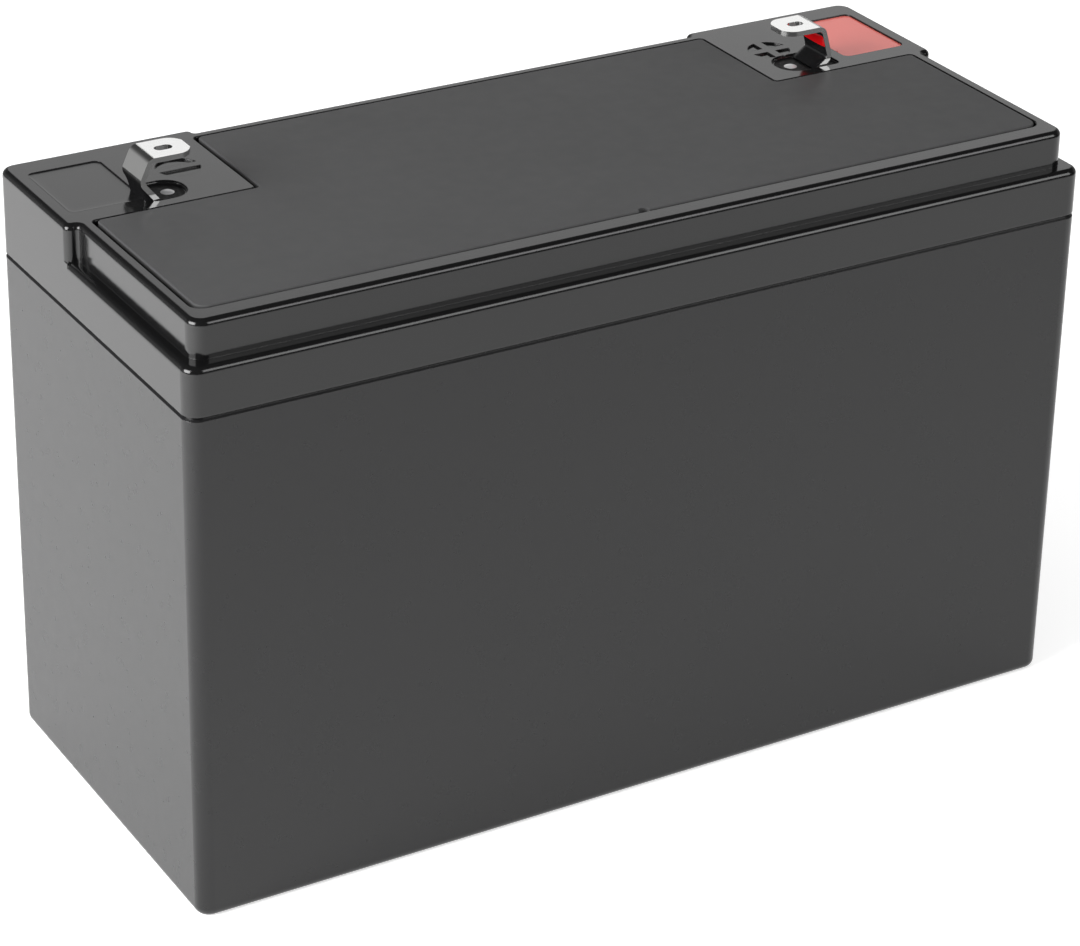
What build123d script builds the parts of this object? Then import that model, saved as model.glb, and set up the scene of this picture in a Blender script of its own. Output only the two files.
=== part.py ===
from build123d import *
import os

# Sealed lead acid battery, 12 volts, six cells in a row.
# All lengths are in millimetres. The origin is at the middle of the underside.
# X runs along the length, from the negative end to the positive end.
# Y runs from the plain long face to the face beside the terminals, and Z points up.

# Case
case_length = 151.0
case_width = 65.0
case_height = 94.0
lid_height = 13.5
case_corner = 2.4
foot_edge = 1.3
wall = 2.4
floor_thickness = 2.6
mould_draft = 0.12
seam_chamfer = 0.35
cell_count = 6
partition_thickness = 1.6
cell_corner = 0.8

# Joint between the container and the lid
tongue_inset = 0.75
tongue_thickness = 0.9
tongue_height = 1.6
tongue_clearance = 0.1

# Lid
ledge_drop = 5.8
lid_end_inset = 1.9
lid_front_inset = 2.2
lid_back_inset = 1.4
ledge_edge = 1.0
top_edge = 0.9
upper_corner = 2.4
block_front_corner = 1.2
block_back_corner = 1.0
block_inner_corner = 0.35
block_straight = 0.05
block_length = 31.3
block_depth = 25.1
roof_thickness = 2.2

# Cover plate and the recess that it lies in
cover_thickness = 2.0
cover_end_rim = 2.1
cover_front_rim = 3.7
cover_back_rim = 1.9
cover_corner = 2.0
cover_inner_corner = 0.8
zone_length = 30.1
zone_depth = 24.9
cover_gap_end = 0.75
cover_gap_front = 0.5
cover_gap_far = 0.1
cover_edge = 0.15
gas_notch_radius = 0.9
gas_notch_x = 0.3

# Vent gallery under the cover plate, with a neck and a rubber cap for each cell
gallery_depth = 6.0
gallery_front_gap = 3.6
gallery_back_gap = 4.0
gallery_end_gap = 0.6
gallery_corner = 2.0
neck_diameter = 6.8
neck_bore = 3.4
neck_height = 4.6
cap_wall = 1.3
cap_clearance = 0.05
cap_skirt_gap = 0.5

# Shallow pads beside the terminal pits
pad_pit_gap = 0.5
pad_end_rim = 2.5
pad_front_rim = 3.8
pad_back_rim = 4.8
pad_corner = 1.2
pad_depth = 0.5
marker_clearance = 0.05
marker_thickness = 0.25

# Polarity marks
mark_end_inset = 23.3
mark_back_inset = 12.7
mark_diameter = 6.8
mark_bar = 1.5
mark_depth = 0.3

# Terminal pits, each an oblong pocket that is filled with resin
pit_depth = 5.4
pit_width = 7.0
pit_inner_corner = 3.2
pit_outer_corner = 1.0
pit_outer_gap_negative = 1.9
pit_outer_gap_positive = -1.6
pit_inner_gap = 0.7
resin_level = 0.5

# Terminal tabs
tab_width = 6.35
tab_thickness = 0.8
tab_rise = 6.6
tab_reach = 8.9
tab_back_inset = 19.4
tab_bend = 1.1
elbow_bend = 1.2
tab_shoulder = 1.5
tab_heel = 3.8
tab_sink = 0.9
foot_end = 7.9
tip_chamfer_along = 1.0
tip_chamfer_across = 1.7
tab_hole_length = 2.8
tab_hole_width = 1.7
tab_hole_from_tip = 3.6
post_from_heel = 5.8
negative_post_inset = 6.94
positive_post_inset = 1.84
negative_elbow = 2.9
positive_elbow = 1.1

# Posts, seals and solder
post_diameter = 2.6
post_clearance = 0.05
seal_diameter = 5.2
seal_height = 1.8
solder_diameter = 3.0
solder_rise = 0.7

# Plates and separators in each cell. Their shares divide the cell's length among them
positive_plate_share = 2.2
negative_plate_share = 1.5
mat_share = 0.8
stack_gap = 0.165
positive_per_cell = 4
strap_headroom = 13.2
plate_side_gap = 0.6
mat_overhang = 1.5
mat_side_gap = 0.2
lug_width = 8.4
lug_height = 4.0

# Cast straps and the welds through the partitions
strap_width = 10.4
strap_height = 3.2
strap_corner = 1.6
flag_thickness = 2.4
flag_height = 8.6
flag_width = 10.0
weld_diameter = 6.4
weld_up = 4.4

# How far a cutting shape runs past the face that it opens, and past the whole case
past = 1.0
beyond = 10.0

# Values worked out from those above
half_length = case_length / 2
half_width = case_width / 2
container_height = case_height - lid_height
ledge_height = case_height - ledge_drop
inner_length = case_length - 2 * wall
inner_width = case_width - 2 * wall
cell_length = (inner_length - (cell_count - 1) * partition_thickness) / cell_count
cell_pitch = cell_length + partition_thickness
stack_length = cell_length - 2 * stack_gap
shares_per_step = positive_plate_share + 2 * mat_share + negative_plate_share
one_share = stack_length / (positive_per_cell * shares_per_step + negative_plate_share)
positive_plate = positive_plate_share * one_share
negative_plate = negative_plate_share * one_share
mat_thickness = mat_share * one_share
stack_step = shares_per_step * one_share
cover_seat = case_height - cover_thickness
gallery_floor = cover_seat - gallery_depth
roof_underside = gallery_floor - roof_thickness
pit_floor = case_height - pit_depth
resin_top = case_height - resin_level
foot_top = case_height - tab_sink
recess_end = half_length - lid_end_inset - cover_end_rim
recess_front = half_width - lid_front_inset - cover_front_rim
recess_back = half_width - lid_back_inset - cover_back_rim
zone_inner = half_length - zone_length
zone_front = half_width - zone_depth
gallery_front = -recess_front + gallery_front_gap
gallery_back = zone_front - gallery_back_gap
vent_y = (gallery_front + gallery_back) / 2
cap_bore = neck_diameter + 2 * cap_clearance
cap_diameter = cap_bore + 2 * cap_wall
block_inner = half_length - block_length
block_front = half_width - block_depth
stack_bottom = floor_thickness
plate_bottom = floor_thickness + mat_thickness
strap_top = roof_underside - strap_headroom
strap_bottom = strap_top - strap_height
plate_top = strap_bottom - lug_height
weld_z = strap_top + weld_up

tab_y = half_width - tab_back_inset
lug_y = tab_y
mark_x = half_length - mark_end_inset
mark_y = half_width - mark_back_inset
last_cell_wall = case_length / 2 - wall - cell_length
negative_tab_x = last_cell_wall + negative_post_inset + post_from_heel
positive_tab_x = last_cell_wall + positive_post_inset + post_from_heel
pit_ends = (negative_tab_x - pit_outer_gap_negative, positive_tab_x - pit_outer_gap_positive)
pad_inner_x = max(pit_ends) + pad_pit_gap

# Side, place of the tab's heel and gap from there to the pit's outer end
TERMINAL_PLACES = [
    (-1, negative_tab_x, pit_outer_gap_negative),
    (1, positive_tab_x, pit_outer_gap_positive),
]


def cell_centre(index):
    """Place along X of the middle of a cell, counted from the negative end."""
    return (index - (cell_count - 1) / 2) * cell_pitch


def partition_centre(index):
    """Place along X of the partition after the cell of this index."""
    return cell_centre(index) + cell_pitch / 2


def outline(points, radii):
    """A flat face inside straight sides whose corners are rounded one by one."""
    return make_face(FilletPolyline(*points, radius=radii, close=True))


def prism(face, bottom, top):
    """A flat face drawn at height zero, raised between two heights."""
    return extrude(Pos(0, 0, bottom) * face, top - bottom)


def block(x0, x1, y0, y1, z0, z1):
    """A plain box between two corners."""
    return Pos((x0 + x1) / 2, (y0 + y1) / 2, (z0 + z1) / 2) * Box(x1 - x0, y1 - y0, z1 - z0)


def rod(x, y, diameter, z0, z1):
    """An upright round bar."""
    return Pos(x, y, (z0 + z1) / 2) * Cylinder(diameter / 2, z1 - z0)


def edges_at(part, height):
    """The edges of a part that lie flat at one height."""
    low = height - 0.001
    high = height + 0.001
    return part.edges().filter_by_position(Axis.Z, low, high)


def outer_rectangle(inset, corner):
    """The outline of the case, brought in by an inset."""
    return RectangleRounded(case_length - 2 * inset, case_width - 2 * inset, corner)


def tongue_ring(clearance, bottom, top):
    """The thin wall that stands round the container's rim, or the groove for it."""
    outside = outer_rectangle(tongue_inset - clearance, case_corner - tongue_inset + clearance)
    inside_inset = tongue_inset + tongue_thickness + clearance
    inside = outer_rectangle(inside_inset, case_corner - inside_inset)
    return prism(outside - inside, bottom, top)


def make_container():
    """The open box with its partitions, their weld holes and the rim for the lid."""
    base = outer_rectangle(0, case_corner)
    body = extrude(Pos(0, 0, container_height) * base, -container_height, taper=mould_draft)
    body = fillet(edges_at(body, 0), foot_edge)
    body = chamfer(edges_at(body, container_height), seam_chamfer)
    for index in range(cell_count):
        x = cell_centre(index)
        pocket = Pos(x, 0) * RectangleRounded(cell_length, inner_width, cell_corner)
        body -= prism(pocket, floor_thickness, container_height + past)
    for index in range(cell_count - 1):
        hole = Cylinder(weld_diameter / 2, partition_thickness * 3)
        body -= Pos(partition_centre(index), weld_side(index), weld_z) * Rot(0, 90, 0) * hole
    body += tongue_ring(0, container_height, container_height + tongue_height)
    return body


def weld_side(index):
    """Place along Y of the weld after a cell: the straps change sides from cell to cell."""
    return -lug_y if index % 2 == 0 else lug_y


def lid_upper_outline():
    """The lid above its ledge: set in all round, but full size at the two terminal blocks."""
    end = half_length - lid_end_inset
    front = -(half_width - lid_front_inset)
    back = half_width - lid_back_inset
    points = [
        (-end, front),
        (end, front),
        (end, block_front),
        (half_length, block_front),
        (half_length, half_width),
        (block_inner, half_width),
        (block_inner, back),
        (-block_inner, back),
        (-block_inner, half_width),
        (-half_length, half_width),
        (-half_length, block_front),
        (-end, block_front),
    ]
    inner = lid_end_inset - block_front_corner - block_straight
    radii = [upper_corner, upper_corner, inner, block_front_corner, case_corner, block_back_corner]
    radii += [block_inner_corner, block_inner_corner, block_back_corner, case_corner]
    radii += [block_front_corner, inner]
    return outline(points, radii)


def cover_outline(end, front, far):
    """The outline of the recess with no gaps, and of the plate with a gap at each side."""
    points = [
        (-recess_end + end, -recess_front + front),
        (recess_end - far, -recess_front + front),
        (recess_end - far, zone_front - far),
        (zone_inner - far, zone_front - far),
        (zone_inner - far, recess_back - far),
        (-zone_inner + end, recess_back - far),
        (-zone_inner + end, zone_front - far),
        (-recess_end + end, zone_front - far),
    ]
    radii = [cover_corner, cover_corner] + [cover_inner_corner] * 6
    return outline(points, radii)


def gas_notch(top, bottom):
    """The small round notch in the plate's front edge where gas leaves the gallery."""
    front = -recess_front + cover_gap_front
    return rod(gas_notch_x, front, 2 * gas_notch_radius, bottom, top)


def pit_face(side, tab_x, outer_gap):
    """The outline of a terminal pit. Side is -1 at the negative end and 1 at the other."""
    outer = tab_x - outer_gap
    inner = tab_x - foot_end - pit_inner_gap
    front = tab_y - pit_width / 2
    back = tab_y + pit_width / 2
    points = [(outer, front), (outer, back), (inner, back), (inner, front)]
    radii = [pit_outer_corner, pit_outer_corner, pit_inner_corner, pit_inner_corner]
    return outline([(side * x, y) for x, y in points], radii)


def pad_face(side, clearance):
    """The outline of the shallow pad beside a terminal pit."""
    inner = pad_inner_x + clearance
    outer = half_length - pad_end_rim - clearance
    front = zone_front + pad_front_rim + clearance
    back = half_width - pad_back_rim - clearance
    points = [(inner, front), (outer, front), (outer, back), (inner, back)]
    return outline([(side * x, y) for x, y in points], [pad_corner - clearance] * 4)


def polarity_mark(side, upright):
    """The sunk disc with its raised sign: one bar, or two where upright is true."""
    place = Pos(side * mark_x, mark_y)
    disc = place * Circle(mark_diameter / 2)
    disc -= place * Rectangle(mark_diameter + past, mark_bar)
    if upright:
        disc -= place * Rectangle(mark_bar, mark_diameter + past)
    return prism(disc, case_height - mark_depth, case_height + past)


def ledge_rounding():
    """What is cut away to round the ledge's outer edge, between the terminal blocks."""
    low = ledge_height - ledge_edge - past
    skirt = prism(outer_rectangle(0, case_corner), low - past, ledge_height)
    skirt = fillet(edges_at(skirt, ledge_height), ledge_edge)
    ring = prism(Rectangle(case_length + beyond, case_width + beyond), low, ledge_height) - skirt
    reach = half_length + beyond
    front = block(-reach, reach, -reach, block_front, low - past, ledge_height + past)
    between = block(-block_inner, block_inner, 0, reach, low - past, ledge_height + past)
    return ring & (front + between)


def make_lid():
    """The lid, one moulding: skirt, ledge, upper body, recess, gallery, pits and marks."""
    body = prism(outer_rectangle(0, case_corner), container_height, case_height)
    round_about = Rectangle(case_length + beyond, case_width + beyond) - lid_upper_outline()
    body -= prism(round_about, ledge_height, case_height + past)
    body -= ledge_rounding()
    body = fillet(edges_at(body, case_height), top_edge)
    body = chamfer(edges_at(body, container_height), seam_chamfer)

    body -= prism(cover_outline(0, 0, 0), cover_seat, case_height)
    edges = edges_at(body, case_height)
    recess_edges = [e for e in edges if is_on_recess(e)]
    body = chamfer(recess_edges, cover_edge)

    gallery_end = cell_centre(cell_count - 1) + cap_diameter / 2 + gallery_end_gap
    gallery_width = gallery_back - gallery_front
    gallery = Pos(0, vent_y) * RectangleRounded(2 * gallery_end, gallery_width, gallery_corner)
    body -= prism(gallery, gallery_floor, case_height + past)
    for index in range(cell_count):
        x = cell_centre(index)
        body += rod(x, vent_y, neck_diameter, gallery_floor, gallery_floor + neck_height)
        body -= rod(x, vent_y, neck_bore, container_height, case_height + past)

    for index in range(cell_count):
        pocket = Pos(cell_centre(index), 0) * RectangleRounded(cell_length, inner_width, cell_corner)
        body -= prism(pocket, container_height - past, roof_underside)
    groove_top = container_height + tongue_height + tongue_clearance
    body -= tongue_ring(tongue_clearance, container_height - past, groove_top)

    for side, tab_x, outer_gap in TERMINAL_PLACES:
        body -= prism(pit_face(side, tab_x, outer_gap), pit_floor, case_height + past)
        x = side * (tab_x - post_from_heel)
        body -= rod(x, tab_y, seal_diameter, pit_floor - seal_height, case_height + past)
        body -= rod(x, tab_y, post_diameter + 2 * post_clearance, container_height, case_height)
        body -= prism(pad_face(side, 0), case_height - pad_depth, case_height + past)
        body -= polarity_mark(side, side > 0)
    return body


def is_on_recess(edge):
    """True for an edge of the cover plate's recess, which lies inside the outer rim."""
    middle = edge.center()
    inside_end = abs(middle.X) < recess_end + 0.01
    inside_front = middle.Y > -recess_front - 0.01
    inside_back = middle.Y < recess_back + 0.01
    return inside_end and inside_front and inside_back


def make_cover():
    """The T-shaped plate, which lies against the far sides of its recess."""
    plate = prism(cover_outline(cover_gap_end, cover_gap_front, cover_gap_far), cover_seat, case_height)
    plate = chamfer(edges_at(plate, case_height), cover_edge)
    return plate - gas_notch(case_height + past, cover_seat - past)


def make_vent_cap(index):
    """A rubber cap that is pushed over a vent neck and touches the cover plate."""
    x = cell_centre(index)
    bottom = gallery_floor + cap_skirt_gap
    cap = rod(x, vent_y, cap_diameter, bottom, cover_seat)
    return cap - rod(x, vent_y, cap_bore, bottom - past, gallery_floor + neck_height)


def tab_path(side, tab_x, elbow):
    """The middle line of a tab, seen from the front, from its tip to the end of its foot."""
    half = tab_thickness / 2
    blade_z = case_height + tab_rise - half
    foot_z = foot_top - half
    elbow_z = case_height + elbow
    points = [
        (tab_x - tab_reach, blade_z),
        (tab_x - half - tab_shoulder, blade_z),
        (tab_x - half, elbow_z),
        (tab_x - tab_heel, foot_z),
        (tab_x - foot_end, foot_z),
    ]
    places = [Vector(side * x, tab_y, z) for x, z in points]
    return FilletPolyline(*places, radius=[tab_bend, elbow_bend, tab_bend])


def foot_corners(tab, end_x):
    """The two upright edges at the end of a tab's foot."""
    upright = tab.edges().filter_by(Axis.Z)
    return [edge for edge in upright if abs(edge.center().X - end_x) < 0.01]


def make_tab(side, tab_x, elbow):
    """A bent tab with a cut-cornered tip, an oblong hole and a round hole in its foot."""
    path = tab_path(side, tab_x, elbow)
    start = Plane(origin=path @ 0, x_dir=Vector(0, 1, 0), z_dir=path % 0)
    tab = sweep(start * Rectangle(tab_width, tab_thickness), path=path)
    blade_high = case_height + tab_rise + past
    blade_low = case_height + tab_rise - tab_thickness - past
    tip = side * (tab_x - tab_reach)
    for across in (-1, 1):
        y = tab_y + across * tab_width / 2
        corner = [(tip, y), (tip + side * tip_chamfer_along, y), (tip, y - across * tip_chamfer_across)]
        tab -= prism(make_face(Polyline(*corner, close=True)), blade_low, blade_high)
    hole_x = side * (tab_x - tab_reach + tab_hole_from_tip)
    slot = Pos(hole_x, tab_y) * SlotOverall(tab_hole_length, tab_hole_width)
    tab -= prism(slot, blade_low, blade_high)
    tab = fillet(foot_corners(tab, side * (tab_x - foot_end)), pit_inner_corner - pit_inner_gap)
    post_x = side * (tab_x - post_from_heel)
    bore = post_diameter + 2 * post_clearance
    return tab - rod(post_x, tab_y, bore, foot_top - tab_thickness - past, foot_top + past)


def make_post(side, tab_x):
    """The lead pin from an end strap up to the top of the tab's foot."""
    return rod(side * (tab_x - post_from_heel), tab_y, post_diameter, strap_top, foot_top)


def make_seal(side, tab_x):
    """The rubber ring under the resin, round the post."""
    x = side * (tab_x - post_from_heel)
    ring = rod(x, tab_y, seal_diameter - 2 * post_clearance, pit_floor - seal_height, pit_floor)
    return ring - rod(x, tab_y, post_diameter + 2 * post_clearance, container_height, case_height)


def make_solder(side, tab_x):
    """The low dome of solder on the foot, over the post."""
    x = side * (tab_x - post_from_heel)
    radius = solder_diameter / 2
    ball = (radius ** 2 + solder_rise ** 2) / (2 * solder_rise)
    dome = Pos(x, tab_y, foot_top + solder_rise - ball) * Sphere(ball)
    high = foot_top + solder_rise + past
    return dome & block(x - radius, x + radius, tab_y - radius, tab_y + radius, foot_top, high)


def make_potting(side, tab_x, outer_gap, tab, solder):
    """The resin in a pit: all of the pit below its level that the metal leaves free."""
    fill = prism(pit_face(side, tab_x, outer_gap), pit_floor, resin_top)
    post_x = side * (tab_x - post_from_heel)
    fill -= rod(post_x, tab_y, post_diameter, pit_floor - past, foot_top)
    fill = fill - tab - solder
    return max(fill.solids(), key=lambda solid: solid.volume)


def make_marker(side):
    """The thin layer of red resin in the pad of the positive block."""
    bottom = case_height - pad_depth
    return prism(pad_face(side, marker_clearance), bottom, bottom + marker_thickness)


def stack_places(index):
    """Places along X in one cell: each plate's and each mat's near side, in order."""
    start = cell_centre(index) - stack_length / 2
    negatives = [start + n * stack_step for n in range(positive_per_cell + 1)]
    mats = [start + negative_plate + n * stack_step for n in range(positive_per_cell)]
    return negatives, mats


def make_plate(x, thickness, bottom, lug_place):
    """One plate with the lug that carries its current up to the strap."""
    y = inner_width / 2 - plate_side_gap
    plate = block(x, x + thickness, -y, y, bottom, plate_top)
    low = lug_place - lug_width / 2
    high = lug_place + lug_width / 2
    return plate + block(x, x + thickness, low, high, plate_top - past, strap_bottom)


def make_positive_plates(index):
    """The positive plates of a cell, each in the fold of its own mat."""
    mats = stack_places(index)[1]
    place = weld_side(index)
    return [make_plate(x + mat_thickness, positive_plate, plate_bottom, place) for x in mats]


def make_negative_plates(index):
    """The negative plates of a cell, which stand on its floor."""
    negatives = stack_places(index)[0]
    place = -weld_side(index)
    return [make_plate(x, negative_plate, stack_bottom, place) for x in negatives]


def make_separators(index):
    """The glass mats of a cell, each folded up round a positive plate."""
    y = inner_width / 2 - mat_side_gap
    top = plate_top + mat_overhang
    sheets = []
    for x in stack_places(index)[1]:
        depth = positive_plate + 2 * mat_thickness
        mat = block(x, x + depth, -y, y, stack_bottom, top)
        near = x + mat_thickness
        far = near + positive_plate
        slot = block(near, far, -y - past, y + past, plate_bottom, top + past)
        sheets.append(mat - slot)
    return sheets


def make_strap(index, side_y, flag_side):
    """A cast strap over the lugs of a cell, with a flag up to the weld where it has one."""
    x = cell_centre(index)
    face = Pos(x, side_y) * RectangleRounded(stack_length, strap_width, strap_corner)
    strap = prism(face, strap_bottom, strap_top)
    if flag_side:
        wall_x = x + flag_side * cell_length / 2
        inner_x = wall_x - flag_side * flag_thickness
        low, high = sorted((wall_x, inner_x))
        half = flag_width / 2
        flag = block(low, high, side_y - half, side_y + half, strap_bottom, strap_top + flag_height)
        flag = fillet(top_corners(flag), strap_corner)
        strap += flag
    return strap


def top_corners(flag):
    """The two upper edges of a flag that run through its thickness."""
    return flag.edges().filter_by(Axis.X).sort_by(Axis.Z)[-2:]


def make_weld(index):
    """The round weld that joins two flags through the hole of a partition."""
    weld = Cylinder(weld_diameter / 2, partition_thickness)
    return Pos(partition_centre(index), weld_side(index), weld_z) * Rot(0, 90, 0) * weld


def save(node, shape):
    """Writes one node. A list of solids is written as one group."""
    shape = Compound(children=list(shape)) if isinstance(shape, list) else shape
    export_step(shape, f"parts/{node}.step")


def main():
    """Builds every node."""
    os.makedirs("parts", exist_ok=True)
    save("container", make_container())
    save("lid", make_lid())
    save("cover_plate", make_cover())
    names = ("negative", "positive")
    elbows = (negative_elbow, positive_elbow)
    for name, elbow, (side, tab_x, outer_gap) in zip(names, elbows, TERMINAL_PLACES):
        tab = make_tab(side, tab_x, elbow)
        solder = make_solder(side, tab_x)
        save(f"{name}_terminal", tab)
        save(f"{name}_solder", solder)
        save(f"{name}_post", make_post(side, tab_x))
        save(f"{name}_post_seal", make_seal(side, tab_x))
        save(f"{name}_potting", make_potting(side, tab_x, outer_gap, tab, solder))
    save("positive_marker", make_marker(1))
    last = cell_count - 1
    for index in range(cell_count):
        cell = f"cell_{index + 1}"
        save(f"vent_cap_{index + 1}", make_vent_cap(index))
        save(f"{cell}_positive_plates", make_positive_plates(index))
        save(f"{cell}_negative_plates", make_negative_plates(index))
        save(f"{cell}_separators", make_separators(index))
        positive_flag = 1 if index < last else 0
        negative_flag = -1 if index > 0 else 0
        save(f"{cell}_positive_strap", make_strap(index, weld_side(index), positive_flag))
        save(f"{cell}_negative_strap", make_strap(index, -weld_side(index), negative_flag))
    for index in range(last):
        save(f"intercell_weld_{index + 1}", make_weld(index))


main()
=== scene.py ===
import logging
import math
from dataclasses import dataclass
from enum import Enum
from typing import Sequence

import bmesh
import bpy
import numpy as np
from mathutils import Matrix, Vector


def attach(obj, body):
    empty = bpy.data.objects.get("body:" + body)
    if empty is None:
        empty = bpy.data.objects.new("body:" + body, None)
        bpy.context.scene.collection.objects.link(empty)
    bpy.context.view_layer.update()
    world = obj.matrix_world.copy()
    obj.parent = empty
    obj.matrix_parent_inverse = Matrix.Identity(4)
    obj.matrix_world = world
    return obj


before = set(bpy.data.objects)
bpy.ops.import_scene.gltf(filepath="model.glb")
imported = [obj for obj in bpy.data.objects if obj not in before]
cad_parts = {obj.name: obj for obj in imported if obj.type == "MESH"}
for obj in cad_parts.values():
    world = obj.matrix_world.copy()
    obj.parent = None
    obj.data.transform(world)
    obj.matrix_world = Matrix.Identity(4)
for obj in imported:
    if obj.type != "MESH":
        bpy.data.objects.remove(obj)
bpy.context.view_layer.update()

log = logging.getLogger("battery")

MM = 0.001
Colour = tuple[float, float, float]
Point = tuple[float, float, float]
Span = tuple[float, float]
Socket = bpy.types.NodeSocket

WHITE: Colour = (1.0, 1.0, 1.0)
RESIN_BLACK: Colour = (0.006, 0.006, 0.0065)
# A noise texture's factor lies mostly in this range
NOISE_RANGE: Span = (0.3, 0.7)
# Points nearer to each other than this many metres are one point
SAME_POINT = 1e-7
# A step of a tab's line that climbs less than this many millimetres is level
LEVEL_STEP = 1e-6


class Pole(Enum):
    """The end of the battery that a terminal stands at, as the sign of its x."""

    NEGATIVE = -1
    POSITIVE = 1


class Side(Enum):
    """The side of a tab that a film of resin lies on: towards the battery's end or its middle."""

    OUTER = 1
    INNER = -1


@dataclass(frozen=True)
class Nodes:
    """The nodes of a material or a world under construction, with short ways to add and join them."""

    owner: bpy.types.Material | bpy.types.World

    @classmethod
    def start(cls, owner: bpy.types.Material | bpy.types.World) -> "Nodes":
        """Empty the nodes of a material or a world.

        Args:
            owner: the material or the world.

        Returns:
            The builder that holds it.
        """
        owner.use_nodes = True
        owner.node_tree.nodes.clear()
        return cls(owner)

    def add(self, kind: str, **values: object) -> bpy.types.Node:
        """Add a node and set its inputs, or its attributes where no input has the name.

        Args:
            kind: the node's Blender type.
            values: input or attribute names, with underscores for spaces in inputs.

        Returns:
            The new node.
        """
        node = self.owner.node_tree.nodes.new(kind)
        for key, value in values.items():
            title = key.replace("_", " ")
            if title in node.inputs:
                node.inputs[title].default_value = value
            else:
                setattr(node, key, value)
        return node

    def join(self, source: Socket, target: Socket) -> None:
        """Link one socket to another."""
        self.owner.node_tree.links.new(source, target)

    def put(self, value: Socket | float, target: Socket) -> None:
        """Give an input a number, or link a socket to it.

        Args:
            value: the number or the socket.
            target: the input.
        """
        if isinstance(value, float):
            target.default_value = value
        else:
            self.join(value, target)

    def place(self) -> Socket:
        """Object coordinates, which are metres in the shared frame."""
        return self.add("ShaderNodeTexCoord").outputs["Object"]

    def stretched(self, where: Socket, scale: Point) -> Socket:
        """Scale coordinates, so that a pattern is drawn out along the axes with a small scale.

        Args:
            where: the coordinates.
            scale: their scale along each axis.

        Returns:
            The scaled coordinates.
        """
        node = self.add("ShaderNodeMapping", Scale=scale)
        self.join(where, node.inputs["Vector"])
        return node.outputs["Vector"]

    def noise(self, size_mm: float, where: Socket, detail: float) -> Socket:
        """A noise whose blots are of about this size.

        Args:
            size_mm: size of a blot in millimetres.
            where: coordinates in metres.
            detail: octaves of finer noise.

        Returns:
            The noise's factor, from 0 to 1.
        """
        node = self.add("ShaderNodeTexNoise", Scale=1 / (size_mm * MM), Detail=detail)
        self.join(where, node.inputs["Vector"])
        return node.outputs["Fac"]

    def ramp(self, value: Socket, start: Span, end: Span, smooth: bool = False) -> Socket:
        """Carry a value over to another range, and hold it at the range's ends.

        Args:
            value: the value.
            start: the range that it comes from.
            end: the results at the two ends of that range.
            smooth: whether the change begins and ends gently.

        Returns:
            The result.
        """
        node = self.add("ShaderNodeMapRange", From_Min=start[0], From_Max=start[1], To_Min=end[0], To_Max=end[1])
        if smooth:
            node.interpolation_type = "SMOOTHSTEP"
        self.join(value, node.inputs["Value"])
        return node.outputs["Result"]

    def pick(self, choice: Socket, otherwise: Socket | float, then: Socket | float) -> Socket:
        """Take one of two values.

        Args:
            choice: 0 takes the first value and 1 the second.
            otherwise: the first value.
            then: the second value.

        Returns:
            The value that is taken.
        """
        node = self.add("ShaderNodeMapRange")
        self.put(otherwise, node.inputs["To Min"])
        self.put(then, node.inputs["To Max"])
        self.join(choice, node.inputs["Value"])
        return node.outputs["Result"]

    def combine(self, operation: str, first: Socket, second: Socket | float) -> Socket:
        """Work out one value from two.

        Args:
            operation: a Math node's operation, such as MAXIMUM.
            first: the first value.
            second: the second value.

        Returns:
            The result.
        """
        node = self.add("ShaderNodeMath", operation=operation)
        self.join(first, node.inputs[0])
        self.put(second, node.inputs[1])
        return node.outputs[0]

    def blend(self, factor: Socket, one: Colour, other: Colour) -> Socket:
        """Mix two colours.

        Args:
            factor: 0 gives the first colour and 1 the second.
            one: the first colour.
            other: the second colour.

        Returns:
            The mixed colour.
        """
        node = self.add("ShaderNodeMix", data_type="RGBA")
        for socket in node.inputs:
            if socket.type == "RGBA":
                socket.default_value = (*(one if socket.identifier.startswith("A") else other), 1.0)
        self.join(factor, node.inputs[0])
        return next(out for out in node.outputs if out.type == "RGBA")

    def bump(self, height: Socket, depth_mm: float, under: Socket | None = None) -> Socket:
        """Turn a height from 0 to 1 into a bumped normal.

        Args:
            height: the height pattern.
            depth_mm: height in millimetres where the pattern is 1.
            under: a normal to bump on top of.

        Returns:
            The normal.
        """
        node = self.add("ShaderNodeBump", Strength=1.0, Distance=depth_mm * MM)
        self.join(height, node.inputs["Height"])
        if under is not None:
            self.join(under, node.inputs["Normal"])
        return node.outputs["Normal"]

    def surface(self, colour: Socket, roughness: Socket | float, normal: Socket, **values: float) -> bpy.types.Material:
        """Finish a material with one Principled shader.

        Args:
            colour: its base colour.
            roughness: its roughness.
            normal: its bumped normal.
            values: inputs that are the same all over, with underscores for spaces.

        Returns:
            The material.
        """
        shader = self.add("ShaderNodeBsdfPrincipled", **values)
        self.join(colour, shader.inputs["Base Color"])
        self.put(roughness, shader.inputs["Roughness"])
        self.join(normal, shader.inputs["Normal"])
        return self.finish(shader.outputs["BSDF"])

    def finish(self, shader: Socket) -> bpy.types.Material | bpy.types.World:
        """Put a shader on the surface of the material or the world.

        Args:
            shader: the shader's output.

        Returns:
            The material or the world.
        """
        kind = "ShaderNodeOutputWorld" if isinstance(self.owner, bpy.types.World) else "ShaderNodeOutputMaterial"
        self.join(shader, self.add(kind).inputs["Surface"])
        return self.owner


def tint(colour: Colour, factor: float) -> Colour:
    """The colour made lighter or darker by a factor."""
    return tuple(channel * factor for channel in colour)


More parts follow.
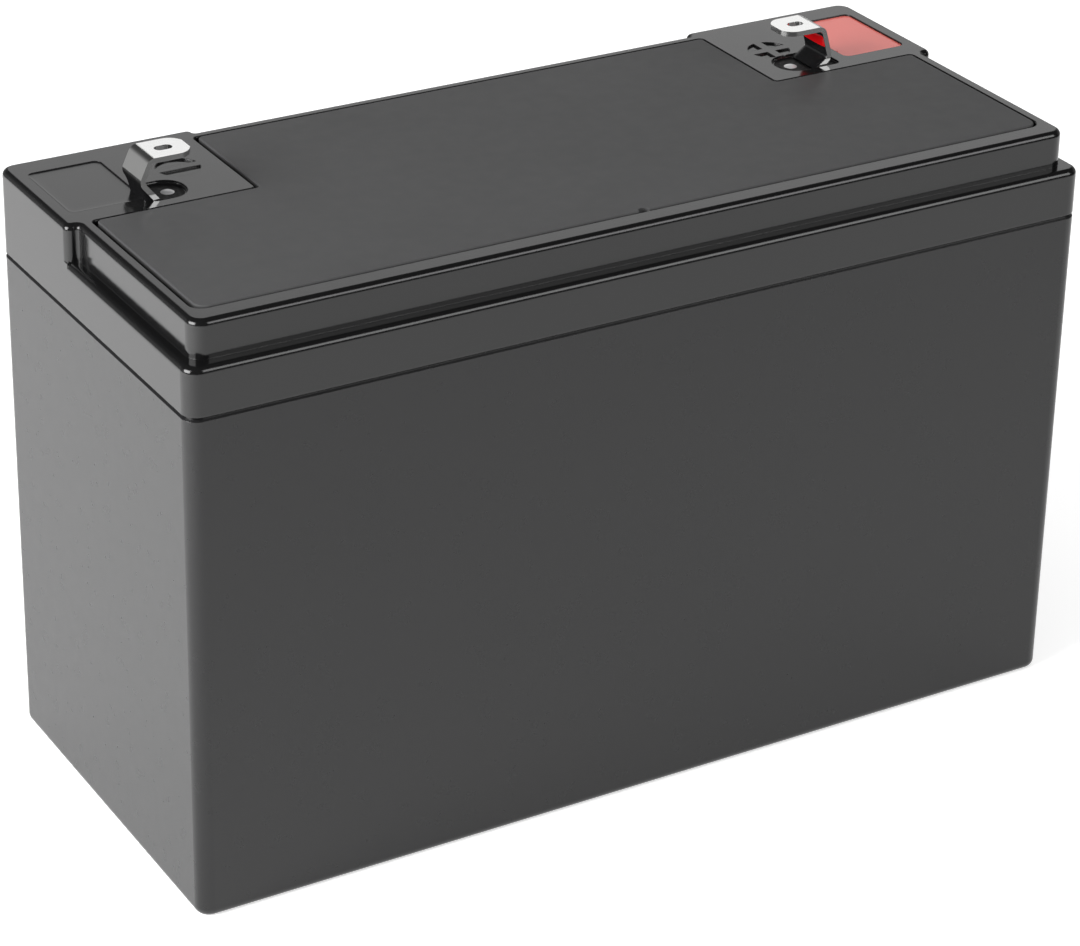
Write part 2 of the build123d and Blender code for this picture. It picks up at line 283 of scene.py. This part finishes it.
@dataclass(frozen=True)
class MouldedPlastic:
    """Injection-moulded plastic: an even colour, a fine grain, a faint wave and edges that the mould rounds.

    The gloss is the shader's specular level, and cloud_share is how far the colour strays.
    """

    name: str
    colour: Colour
    roughness: Span
    gloss: float
    rounding_mm: float = 0.1
    rounding_samples: int = 4
    cloud_mm: float = 14.0
    cloud_share: float = 0.07
    scuff_mm: float = 2.6
    wave_mm: float = 23.8
    wave_depth_mm: float = 0.006
    grain_mm: float = 0.25
    grain_depth_mm: float = 0.0006

    def make(self) -> bpy.types.Material:
        """Build the material.

        Returns:
            The new material.
        """
        nodes = Nodes.start(bpy.data.materials.new(self.name))
        where = nodes.place()
        cloud = nodes.noise(self.cloud_mm, where, detail=3.0)
        scuff = nodes.noise(self.scuff_mm, where, detail=6.0)
        wave = nodes.noise(self.wave_mm, where, detail=1.0)
        grain = nodes.noise(self.grain_mm, where, detail=2.0)
        colour = nodes.blend(cloud, tint(self.colour, 1 - self.cloud_share), tint(self.colour, 1 + self.cloud_share))
        rounded = nodes.add("ShaderNodeBevel", samples=self.rounding_samples, Radius=self.rounding_mm * MM)
        normal = nodes.bump(wave, self.wave_depth_mm, rounded.outputs["Normal"])
        normal = nodes.bump(grain, self.grain_depth_mm, normal)
        roughness = nodes.ramp(scuff, NOISE_RANGE, self.roughness)
        return nodes.surface(colour, roughness, normal, Specular_IOR_Level=self.gloss)


@dataclass(frozen=True)
class PouredResin:
    """Resin that was poured and set, with a slow, wet-looking wave.

    Its roughness strays up by the mottle's share, and its colour both ways by the blot's share.
    """

    name: str
    colour: Colour
    roughness: float
    gloss: float = 0.5
    mottle_mm: float = 0.5
    mottle_share: float = 0.6
    blot_mm: float = 4.2
    blot_share: float = 0.15
    wave_mm: float = 3.0
    wave_depth_mm: float = 0.03

    def make(self) -> bpy.types.Material:
        """Build the material.

        Returns:
            The new material.
        """
        nodes = Nodes.start(bpy.data.materials.new(self.name))
        where = nodes.place()
        blot = nodes.noise(self.blot_mm, where, detail=2.0)
        mottle = nodes.noise(self.mottle_mm, where, detail=2.0)
        wave = nodes.noise(self.wave_mm, where, detail=1.0)
        colour = nodes.blend(blot, tint(self.colour, 1 - self.blot_share), tint(self.colour, 1 + self.blot_share))
        rough_range = (self.roughness, self.roughness * (1 + self.mottle_share))
        roughness = nodes.ramp(mottle, NOISE_RANGE, rough_range)
        normal = nodes.bump(wave, self.wave_depth_mm)
        return nodes.surface(colour, roughness, normal, Specular_IOR_Level=self.gloss)


@dataclass(frozen=True)
class BrightMetal:
    """Plated or soft metal: faintly clouded, with fine lines drawn out along the axes of a small stretch."""

    name: str
    colour: Colour
    roughness: Span
    metallic: float = 1.0
    cloud_mm: float = 1.8
    cloud_share: float = 0.04
    line_mm: float = 0.09
    line_depth_mm: float = 0.0005
    line_stretch: Point = (0.06, 1.0, 0.06)

    def make(self) -> bpy.types.Material:
        """Build the material.

        Returns:
            The new material.
        """
        nodes = Nodes.start(bpy.data.materials.new(self.name))
        where = nodes.place()
        cloud = nodes.noise(self.cloud_mm, where, detail=3.0)
        lines = nodes.noise(self.line_mm, nodes.stretched(where, self.line_stretch), detail=2.0)
        colour = nodes.blend(cloud, tint(self.colour, 1 - self.cloud_share), self.colour)
        roughness = nodes.ramp(cloud, NOISE_RANGE, self.roughness)
        return nodes.surface(colour, roughness, nodes.bump(lines, self.line_depth_mm), Metallic=self.metallic)


@dataclass(frozen=True)
class CastOrPasted:
    """Dull cast lead, or paste pressed on a grid: patchy, rough and pitted."""

    name: str
    colour: Colour
    patch: Colour
    patch_mm: float
    pit_mm: float
    pit_depth_mm: float
    roughness: Span
    metallic: float = 0.0

    def make(self) -> bpy.types.Material:
        """Build the material.

        Returns:
            The new material.
        """
        nodes = Nodes.start(bpy.data.materials.new(self.name))
        where = nodes.place()
        patches = nodes.noise(self.patch_mm, where, detail=4.0)
        pits = nodes.noise(self.pit_mm, where, detail=3.0)
        colour = nodes.blend(nodes.ramp(patches, NOISE_RANGE, (0.0, 1.0)), self.colour, self.patch)
        roughness = nodes.ramp(pits, NOISE_RANGE, self.roughness)
        return nodes.surface(colour, roughness, nodes.bump(pits, self.pit_depth_mm), Metallic=self.metallic)


@dataclass(frozen=True)
class FibreMat:
    """A felt of glass fibres: thin threads that lie every way, with a soft sheen."""

    name: str
    colour: Colour
    shade: float = 0.8
    fibre_mm: float = 0.25
    fibre_stretch: float = 0.1
    fibre_depth_mm: float = 0.15
    roughness: float = 0.95
    sheen: float = 0.3

    def make(self) -> bpy.types.Material:
        """Build the material.

        Returns:
            The new material.
        """
        nodes = Nodes.start(bpy.data.materials.new(self.name))
        where = nodes.place()
        upright = nodes.noise(self.fibre_mm, nodes.stretched(where, (1.0, 1.0, self.fibre_stretch)), detail=3.0)
        level = nodes.noise(self.fibre_mm, nodes.stretched(where, (1.0, self.fibre_stretch, 1.0)), detail=3.0)
        felt = nodes.combine("MULTIPLY", upright, level)
        # partly painted shade: the felt pattern varies the threads' tone, and darkens its low parts, the hollows
        # between threads, by the shade factor
        colour = nodes.blend(felt, tint(self.colour, self.shade), self.colour)
        return nodes.surface(colour, self.roughness, nodes.bump(felt, self.fibre_depth_mm), Sheen_Weight=self.sheen)


def dress(material: bpy.types.Material, names: Sequence[str]) -> None:
    """Put a material on CAD nodes, in place of the plain one that each came with.

    Args:
        material: the finish.
        names: the nodes' names.
    """
    for name in names:
        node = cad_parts[name]
        node.data.materials.clear()
        node.data.materials.append(material)
        log.info("%s wears %s", name, material.name)


@dataclass(frozen=True)
class Case:
    """The container, its lid and the plate that is let into the lid."""

    container: MouldedPlastic = MouldedPlastic("case plastic", (0.009, 0.009, 0.0095), (0.24, 0.28), gloss=0.42)
    lid: MouldedPlastic = MouldedPlastic("lid plastic", (0.006, 0.006, 0.0062), (0.12, 0.15), gloss=0.5,
                                         rounding_mm=0.2)
    plate: MouldedPlastic = MouldedPlastic("plate plastic", (0.073, 0.073, 0.074), (0.48, 0.54), gloss=0.12)

    def build(self) -> None:
        """Dress the three mouldings."""
        dress(self.container.make(), ["container"])
        dress(self.lid.make(), ["lid"])
        dress(self.plate.make(), ["cover_plate"])


def rounded_line(points: np.ndarray, radii: Sequence[float], steps: int = 9) -> np.ndarray:
    """A run of straight lines with an arc at each corner.

    Each arc's point is the corner's centre of bend plus the radius times the direction to a point
    that moves evenly along the straight line between the arc's two ends.

    Args:
        points: the corners, one row each, ends included.
        radii: a bend radius for each corner between the ends.
        steps: points in each arc.

    Returns:
        The points of the whole line.
    """
    run = [points[:1]]
    for before, corner, after, radius in zip(points, points[1:], points[2:], radii):
        back, ahead = before - corner, after - corner
        back, ahead = back / np.linalg.norm(back), ahead / np.linalg.norm(ahead)
        middle = (back + ahead) / np.linalg.norm(back + ahead)
        half = math.acos(float(np.clip(back @ ahead, -1, 1))) / 2
        centre = corner + middle * radius / math.sin(half)
        first, last = back * radius / math.tan(half), ahead * radius / math.tan(half)
        share = np.linspace(0, 1, steps)[:, None]
        chord = corner + first * (1 - share) + last * share - centre
        run.append(centre + radius * chord / np.linalg.norm(chord, axis=1, keepdims=True))
    return np.concatenate(run + [points[-1:]])


def rounded_oblong(x: Span, y: Span, radii: Sequence[float], steps: int) -> np.ndarray:
    """A closed oblong with rounded corners, from the middle of its low y side towards its high x.

    Args:
        x: its lowest and highest x.
        y: its lowest and highest y.
        radii: a radius for each corner, in the order in which the outline reaches them.
        steps: points in each arc.

    Returns:
        The outline's points, of which the last is the first again.
    """
    (left, right), (front, back) = x, y
    middle = (left + right) / 2
    corners = [(middle, front), (right, front), (right, back), (left, back), (left, front), (middle, front)]
    return rounded_line(np.array(corners), radii, steps)


def crown(share: np.ndarray, power: float) -> np.ndarray:
    """1 over the middle of a width, and down to 0 at its two edges: 1 less the power of the distance."""
    return 1 - np.abs(2 * share - 1) ** power


def sheet_from_grid(name: str, grid: np.ndarray, material: bpy.types.Material) -> bpy.types.Object:
    """Make a smooth surface from a grid of points, closed at seams and poles, and let it ride on the battery.

    Args:
        name: the piece's name.
        grid: points in millimetres, rows by columns by 3.
        material: its finish.

    Returns:
        The new object.
    """
    rows, columns = grid.shape[:2]
    corner = np.arange(rows * columns).reshape(rows, columns)
    faces = np.stack([corner[:-1, :-1], corner[1:, :-1], corner[1:, 1:], corner[:-1, 1:]], -1).reshape(-1, 4)
    mesh = bpy.data.meshes.new(name)
    mesh.from_pydata((grid.reshape(-1, 3) * MM).tolist(), [], faces.tolist())
    merged = bmesh.new()
    merged.from_mesh(mesh)
    bmesh.ops.remove_doubles(merged, verts=merged.verts, dist=SAME_POINT)
    merged.to_mesh(mesh)
    merged.free()
    mesh.polygons.foreach_set("use_smooth", np.ones(len(mesh.polygons), dtype=bool))
    mesh.materials.append(material)
    piece = bpy.data.objects.new(name, mesh)
    bpy.context.scene.collection.objects.link(piece)
    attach(piece, "root")
    log.info("%s has %d faces", name, len(mesh.polygons))
    return piece


@dataclass(frozen=True)
class Tab:
    """A bent tab: the middle line of its strip, as |x| and z in millimetres, and the strip's section."""

    pole: Pole
    heel: float
    elbow: Span
    foot_z: float = 92.7
    foot_length: float = 4.1
    shoulder_back: float = 1.5
    blade_z: float = 100.2
    blade_length: float = 7.0
    bends: Sequence[float] = (1.1, 1.2, 1.1)
    middle_y: float = 13.1
    width: float = 6.35
    thickness: float = 0.8

    def line(self) -> np.ndarray:
        """The middle line from the foot to the tip: four straight lines with an arc at each bend.

        Returns:
            Its points, as |x| and z.
        """
        shoulder = self.elbow[0] - self.shoulder_back
        corners = [(self.heel - self.foot_length, self.foot_z), (self.heel, self.foot_z), self.elbow,
                   (shoulder, self.blade_z), (shoulder - self.blade_length, self.blade_z)]
        return rounded_line(np.array(corners), self.bends)


@dataclass(frozen=True)
class Film:
    """A film on one side of a tab's rising part, between two heights, with its borders sunk into the metal: black, or
    dark red as painted shade.

    It is thin at its upper border, swells towards its lower one, and its upper border ripples.
    """

    tab: Tab
    side: Side
    low: float
    high: float
    swell: float
    thin: float
    ripple: float
    taper: float = 1.4
    side_roundness: float = 8
    end_roundness: float = 12
    slow_ripple: Span = (7.3, 0.6)
    quick_ripple: float = 17.0
    inset: float = 0.05
    sunk: float = 0.02
    slope_step: float = 0.02
    steps: tuple[int, int] = (40, 48)

    def grid(self) -> np.ndarray:
        """A grid from the lower border to the upper one and across the tab, a little over the metal.

        The height over the metal is thin plus swell times the taper power of the share of the rise
        that is still above, times a crown over the tab's width and another over the rise. The upper
        border strays by the ripple times a slow sine, whose rate and phase are slow_ripple, plus half
        a quick one. A point lies on the tab's middle line, moved out along its normal by half the
        metal's thickness and the height.

        Returns:
            The grid's points.
        """
        line = self.tab.line()
        rising = np.concatenate([[True], np.diff(line[:, 1]) > LEVEL_STEP])
        along = np.concatenate([[0.0], np.cumsum(np.linalg.norm(np.diff(line, axis=0), axis=1))])
        share, across = np.meshgrid(*(np.linspace(0, 1, count) for count in self.steps), indexing="ij")
        rate, phase = self.slow_ripple
        wander = self.ripple * (np.sin(across * rate + phase) + 0.5 * np.sin(across * self.quick_ripple))
        first, last = np.interp([self.low, self.high], line[rising, 1], along[rising])
        where = first + (last + wander - first) * share
        x, z = (np.interp(where, along, line[:, axis]) for axis in (0, 1))
        slope = np.stack([np.interp(where + self.slope_step, along, line[:, axis])
                          - np.interp(where - self.slope_step, along, line[:, axis]) for axis in (0, 1)], -1)
        slope /= np.linalg.norm(slope, axis=-1, keepdims=True)
        height = self.thin + self.swell * (1 - share) ** self.taper
        height = height * crown(across, self.side_roundness) * crown(0.5 + share / 2, self.end_roundness) - self.sunk
        offset = self.tab.thickness / 2 + height
        x = x + self.side.value * slope[..., 1] * offset
        z = z - self.side.value * slope[..., 0] * offset
        y = self.tab.middle_y + (across - 0.5) * (self.tab.width - 2 * self.inset)
        return np.stack([self.tab.pole.value * x, y, z], -1)


@dataclass(frozen=True)
class Meniscus:
    """The thin curved rim where resin climbs a pit's wall, whose inner and outer ends are given as |x|."""

    pole: Pole
    inner: float
    outer: float
    y: Span = (9.6, 16.6)
    inner_corner: float = 3.2
    outer_corner: float = 1.0
    level: float = 93.5
    climb: float = 0.42
    sunk: float = 0.01
    lift: float = 0.004
    corner_steps: int = 14
    climb_steps: int = 9

    def grid(self) -> np.ndarray:
        """A quarter round, hollow side up, swept along the pit's wall.

        At each angle up to a quarter turn, the point lies inwards from the wall by the climb times
        1 less the cosine, and over the resin's level by the climb times 1 less the sine.

        Returns:
            The grid's points.
        """
        radii = (self.outer_corner, self.outer_corner, self.inner_corner, self.inner_corner)
        wall = rounded_oblong((self.inner, self.outer), self.y, radii, self.corner_steps)
        run = np.roll(wall[:-1], -1, axis=0) - np.roll(wall[:-1], 1, axis=0)
        run /= np.linalg.norm(run, axis=1, keepdims=True)
        inward = np.concatenate([run, run[:1]])[:, ::-1] * (-1, 1)
        angle = np.linspace(0, math.pi / 2, self.climb_steps)
        reach = self.climb * (1 - np.cos(angle))[None, :, None] - self.sunk
        place = wall[:, None, :] + inward[:, None, :] * reach
        z = np.broadcast_to(self.level + self.climb * (1 - np.sin(angle)) + self.lift, place.shape[:2])
        return np.stack([self.pole.value * place[..., 0], place[..., 1], z], -1)


@dataclass(frozen=True)
class ShadeDome:
    """A flat dome with a slightly lobed outline, which here wears dark red as painted shade."""

    x: float
    y: float
    base: float
    radius: float
    rise: float
    lobes: int = 3
    lobe_share: float = 0.08
    lobe_turn: float = 0.5
    sunk: float = 0.02
    rings: int = 12
    turns: int = 33

    def grid(self) -> np.ndarray:
        """Rings from the middle outwards.

        The height is the rise times the square root of 1 less the squared distance. The reach is the
        radius times the distance, more or less by the lobes' share times a sine that goes round once
        for each lobe.

        Returns:
            The grid's points.
        """
        distance, turn = np.meshgrid(np.linspace(0, 1, self.rings), np.linspace(0, 2 * math.pi, self.turns),
                                     indexing="ij")
        reach = self.radius * distance * (1 + self.lobe_share * np.sin(self.lobes * turn + self.lobe_turn))
        z = self.base - self.sunk + self.rise * np.sqrt(np.clip(1 - distance ** 2, 0, 1))
        return np.stack([self.x + reach * np.cos(turn), self.y + reach * np.sin(turn), z], -1)


@dataclass(frozen=True)
class PadFill:
    """Black resin that fills the negative block's pad almost to the brim, as red resin does the other."""

    x: Span = (-72.99, -61.42)
    y: Span = (11.41, 27.69)
    corner: float = 1.19
    level: float = 93.86
    climb: float = 0.09
    climb_power: float = 30
    corner_steps: int = 12
    flat_rings: int = 10
    flat_share: float = 0.9
    brim_rings: int = 14
    brim_share: float = 0.91

    def grid(self) -> np.ndarray:
        """Outlines from the middle to the brim, each the brim's outline times its share of the way.

        The height is the level plus the climb times the climb power of that share. The rings lie
        wide apart up to the flat share, and close together from the brim share on.

        Returns:
            The grid's points.
        """
        brim = rounded_oblong(self.x, self.y, (self.corner,) * 4, self.corner_steps)
        centre = np.array([sum(self.x) / 2, sum(self.y) / 2])
        flat = np.linspace(0, self.flat_share, self.flat_rings)
        share = np.concatenate([flat, np.linspace(self.brim_share, 1, self.brim_rings)])[:, None]
        place = centre + (brim - centre)[None] * share[..., None]
        z = np.broadcast_to(self.level + self.climb * share ** self.climb_power, place.shape[:2])
        return np.concatenate([place, z[..., None]], -1)


@dataclass(frozen=True)
class Terminals:
    """The two bent tabs, the solder on them and the resin round them."""

    tin: BrightMetal = BrightMetal("tin plate", (0.88, 0.88, 0.87), (0.11, 0.16))
    solder: BrightMetal = BrightMetal("solder", (0.80, 0.80, 0.81), (0.32, 0.42), metallic=0.5,
                                      line_stretch=(1.0, 1.0, 1.0))
    pit_resin: PouredResin = PouredResin("black resin", RESIN_BLACK, 0.42, gloss=0.2)
    crept_resin: PouredResin = PouredResin("black resin film", RESIN_BLACK, 0.16)
    pad_resin: PouredResin = PouredResin("black pad resin", RESIN_BLACK, 0.15, mottle_share=0.1, wave_depth_mm=0.002)
    red: PouredResin = PouredResin("red resin", (0.76, 0.155, 0.13), 0.24, mottle_share=0.05, blot_share=0.03,
                                   wave_depth_mm=0.004)
    # painted shade: the red resin darkened and deepened, standing for red resin that lies in the tab's shadow
    painted_shade_red: PouredResin = PouredResin("red resin darkened as painted shade", (0.55, 0.004, 0.006), 0.16)
    negative: Tab = Tab(Pole.NEGATIVE, heel=59.01, elbow=(62.41, 96.9))
    positive: Tab = Tab(Pole.POSITIVE, heel=53.91, elbow=(57.31, 95.1))
    pits: Sequence[Meniscus] = (Meniscus(Pole.NEGATIVE, 54.21, 60.91), Meniscus(Pole.POSITIVE, 49.11, 59.31))
    shade_dome: ShadeDome = ShadeDome(x=61.75, y=14.6, base=93.5, radius=0.85, rise=0.30)
    pad: PadFill = PadFill()

    def build(self) -> None:
        """Dress the tabs, the solder and the resin, and lay the films, the dark red dome of painted shade, the pad's
        fill and the rims; one film is a dark red band of painted shade.
        """
        dress(self.tin.make(), ["negative_terminal", "positive_terminal"])
        dress(self.solder.make(), ["negative_solder", "positive_solder"])
        dress(self.pit_resin.make(), ["negative_potting", "positive_potting"])
        dress(self.red.make(), ["positive_marker"])
        black, painted_shade_red = self.crept_resin.make(), self.painted_shade_red.make()
        # black films that swell over the lower part of each tab
        heap = Film(self.negative, Side.OUTER, low=93.3, high=96.7, swell=2.4, thin=0.10, ripple=0.12)
        coat = Film(self.positive, Side.INNER, low=93.2, high=97.4, swell=0.25, thin=0.10, ripple=0.10)
        # painted shade: a dark red band on the tab's inner side, where the red pit wall lies in shadow
        band = Film(self.positive, Side.INNER, low=97.2, high=98.9, swell=0.10, thin=0.14, ripple=0.08)
        sheet_from_grid("negative_black_heap", heap.grid(), black)
        sheet_from_grid("positive_black_coat", coat.grid(), black)
        sheet_from_grid("positive_red_painted_shade_band", band.grid(), painted_shade_red)
        # painted shade: a dark red dome where the tab's shadow falls on the red pad
        sheet_from_grid("positive_red_painted_shade_dome", self.shade_dome.grid(), painted_shade_red)
        sheet_from_grid("negative_pad_resin", self.pad.grid(), self.pad_resin.make())
        for pit in self.pits:
            sheet_from_grid(f"{pit.pole.name.lower()}_resin_rim", pit.grid(), black)


@dataclass(frozen=True)
class Inside:
    """What the case hides: cells, straps, welds, posts, seals and vent caps."""

    cells: int = 6
    lead: CastOrPasted = CastOrPasted("cast lead", (0.20, 0.21, 0.23), (0.13, 0.14, 0.15), patch_mm=4.0, pit_mm=0.6,
                                      pit_depth_mm=0.03, roughness=(0.4675, 0.605), metallic=0.7)
    brown: CastOrPasted = CastOrPasted("brown paste", (0.10, 0.045, 0.028), (0.06, 0.028, 0.018), patch_mm=5.0,
                                       pit_mm=0.4, pit_depth_mm=0.05, roughness=(0.765, 0.99))
    grey: CastOrPasted = CastOrPasted("grey paste", (0.19, 0.20, 0.21), (0.13, 0.135, 0.14), patch_mm=5.0,
                                      pit_mm=0.4, pit_depth_mm=0.05, roughness=(0.7225, 0.935))
    rubber: CastOrPasted = CastOrPasted("rubber", (0.022, 0.022, 0.022), (0.034, 0.034, 0.034), patch_mm=2.0,
                                        pit_mm=0.3, pit_depth_mm=0.01, roughness=(0.6375, 0.825))
    mat: FibreMat = FibreMat("glass mat", (0.82, 0.82, 0.79))

    def build(self) -> None:
        """Dress the hidden pieces."""
        numbers = range(1, self.cells + 1)
        straps = [f"cell_{n}_{pole}_strap" for n in numbers for pole in ("positive", "negative")]
        welds = [f"intercell_weld_{n}" for n in numbers if n < self.cells]
        caps = [f"vent_cap_{n}" for n in numbers]
        dress(self.lead.make(), straps + welds + ["negative_post", "positive_post"])
        dress(self.brown.make(), [f"cell_{n}_positive_plates" for n in numbers])
        dress(self.grey.make(), [f"cell_{n}_negative_plates" for n in numbers])
        dress(self.mat.make(), [f"cell_{n}_separators" for n in numbers])
        dress(self.rubber.make(), caps + ["negative_post_seal", "positive_post_seal"])


@dataclass(frozen=True)
class PhotoCamera:
    """A pinhole camera at the photograph's viewing angle, with the fit's own numbers.

    Pixels are those of the photograph.
    """

    azimuth: float = -30.757
    elevation: float = 24.962
    roll: float = 1.136
    offset_mm: Point = (-0.026, 61.128, 585.022)
    focal_pixels: float = 3640.4
    centre_pixels: Span = (540.0, 310.0)
    image_pixels: Span = (1080.0, 946.0)
    sensor_mm: float = 36.0
    nearest: float = 0.01

    def axes(self) -> np.ndarray:
        """The camera's right, down and forward directions, one per row.

        Forward is against the direction of the azimuth and elevation, right is level, and the roll
        turns right and down about forward.

        Returns:
            The three directions.
        """
        turn, rise, roll = (math.radians(angle) for angle in (self.azimuth, self.elevation, self.roll))
        forward = -np.array([math.sin(turn) * math.cos(rise), -math.cos(turn) * math.cos(rise), math.sin(rise)])
        right = np.cross(forward, (0.0, 0.0, 1.0))
        right /= np.linalg.norm(right)
        down = np.cross(forward, right)
        cos, sin = math.cos(roll), math.sin(roll)
        return np.array([[cos, -sin, 0.0], [sin, cos, 0.0], [0.0, 0.0, 1.0]]) @ np.array([right, down, forward])

    def build(self) -> None:
        """Make the camera and hand it to the scene."""
        data = bpy.data.cameras.new("camera")
        width, height = self.image_pixels
        data.sensor_width = self.sensor_mm
        data.lens = self.focal_pixels / width * self.sensor_mm
        data.shift_x = (width / 2 - self.centre_pixels[0]) / width
        data.shift_y = (self.centre_pixels[1] - height / 2) / width
        data.clip_start = self.nearest
        axes = self.axes()
        spot = -axes.T @ (np.array(self.offset_mm) * MM)
        right, down, forward = axes
        turn = Matrix(np.array([right, -down, -forward]).T.tolist()).to_4x4()
        camera = bpy.data.objects.new("camera", data)
        bpy.context.scene.collection.objects.link(camera)
        camera.matrix_world = Matrix.Translation(Vector(spot.tolist())) @ turn
        bpy.context.scene.camera = camera


@dataclass(frozen=True)
class Softbox:
    """An oblong lamp that points at a spot and isn't itself in the picture. Lengths are in metres."""

    name: str
    place: Point
    aim: Point
    size: Span
    watts: float

    def build(self) -> None:
        """Make the lamp."""
        data = bpy.data.lights.new(self.name, "AREA")
        data.shape = "RECTANGLE"
        data.size, data.size_y = self.size
        data.energy = self.watts
        lamp = bpy.data.objects.new(self.name, data)
        bpy.context.scene.collection.objects.link(lamp)
        lamp.location = self.place
        lamp.visible_camera = False
        lamp.rotation_mode = "QUATERNION"
        lamp.rotation_quaternion = (Vector(self.aim) - Vector(self.place)).to_track_quat("-Z", "Y")


@dataclass(frozen=True)
class Studio:
    """A white table in a room with grey walls and a dark ceiling, with soft lamps at a plain level.

    The glow is what the table adds to its paint for rays that look at it, and the sky is the even
    light on everything. Gloss sees the room as the lower of two brightnesses: one falls from the
    side walls' to the ceiling's where the direction's z goes through wall_rise, and the other
    grows from the ceiling's to the back wall's where its y goes through room_depth, so that the
    room is dark behind the camera.
    """

    table_half: float = 0.45
    table: Colour = (0.85, 0.85, 0.85)
    glow: float = 0.49
    sky: float = 0.48
    ceiling: float = 0.044
    side_wall: float = 0.32
    back_wall: float = 0.8
    wall_rise: Span = (0.15, 0.55)
    room_depth: Span = (-0.25, 0.35)
    lamps: Sequence[Softbox] = (
        Softbox("left softbox", (-0.50, -0.02, 0.24), (-0.17, 0.12, 0.0), (0.36, 0.30), watts=4.2),
        Softbox("back softbox", (0.49, 0.79, 0.46), (0.0, 0.0, 0.09), (0.66, 0.30), watts=0.53),
        Softbox("front softbox", (0.58, -0.90, 0.66), (0.0, -0.03, 0.09), (0.70, 0.56), watts=5.0),
    )

    def build(self) -> None:
        """Make the table, the room and the lamps."""
        self.lay_table()
        self.light_room()
        for lamp in self.lamps:
            lamp.build()

    def lay_table(self) -> None:
        """Make the table, whose glow is only for rays that look at it, so that it shades like plain paint."""
        half = self.table_half
        mesh = bpy.data.meshes.new("table")
        corners = [(-half, -half, 0.0), (half, -half, 0.0), (half, half, 0.0), (-half, half, 0.0)]
        mesh.from_pydata(corners, [], [(0, 1, 2, 3)])
        table = bpy.data.objects.new("table", mesh)
        bpy.context.scene.collection.objects.link(table)
        nodes = Nodes.start(bpy.data.materials.new("white table"))
        path = nodes.add("ShaderNodeLightPath").outputs
        direct = nodes.combine("MAXIMUM", path["Is Camera Ray"], path["Is Glossy Ray"])
        seen = nodes.combine("MAXIMUM", direct, path["Is Transmission Ray"])
        paint = nodes.add("ShaderNodeBsdfDiffuse", Color=(*self.table, 1.0))
        light = nodes.add("ShaderNodeEmission", Color=(*WHITE, 1.0))
        nodes.join(nodes.combine("MULTIPLY", seen, self.glow), light.inputs["Strength"])
        total = nodes.add("ShaderNodeAddShader")
        nodes.join(paint.outputs["BSDF"], total.inputs[0])
        nodes.join(light.outputs["Emission"], total.inputs[1])
        mesh.materials.append(nodes.finish(total.outputs["Shader"]))

    def light_room(self) -> None:
        """Make the world: white where it is looked at, the room in gloss, and an even light elsewhere."""
        world = bpy.data.worlds.new("studio")
        bpy.context.scene.world = world
        nodes = Nodes.start(world)
        path = nodes.add("ShaderNodeLightPath").outputs
        direction = nodes.add("ShaderNodeSeparateXYZ")
        nodes.join(nodes.add("ShaderNodeTexCoord").outputs["Generated"], direction.inputs["Vector"])
        depth = nodes.ramp(direction.outputs["Y"], self.room_depth, (self.ceiling, self.back_wall), smooth=True)
        height = nodes.ramp(direction.outputs["Z"], self.wall_rise, (self.side_wall, self.ceiling), smooth=True)
        unseen = nodes.pick(path["Is Glossy Ray"], self.sky, nodes.combine("MINIMUM", depth, height))
        looked_at = nodes.combine("MAXIMUM", path["Is Camera Ray"], path["Is Transmission Ray"])
        background = nodes.add("ShaderNodeBackground", Color=(*WHITE, 1.0))
        nodes.join(nodes.pick(looked_at, unseen, 1.0), background.inputs["Strength"])
        nodes.finish(background.outputs["Background"])


def main() -> None:
    """Build the scene: camera, studio, then each sub-assembly."""
    logging.basicConfig(level=logging.INFO, format="%(name)s: %(message)s")
    bpy.context.scene.view_settings.view_transform = "Standard"
    PhotoCamera().build()
    Studio().build()
    for group in (Case(), Terminals(), Inside()):
        group.build()
        log.info("%s done", type(group).__name__)


if __name__ == "__main__":
    main()
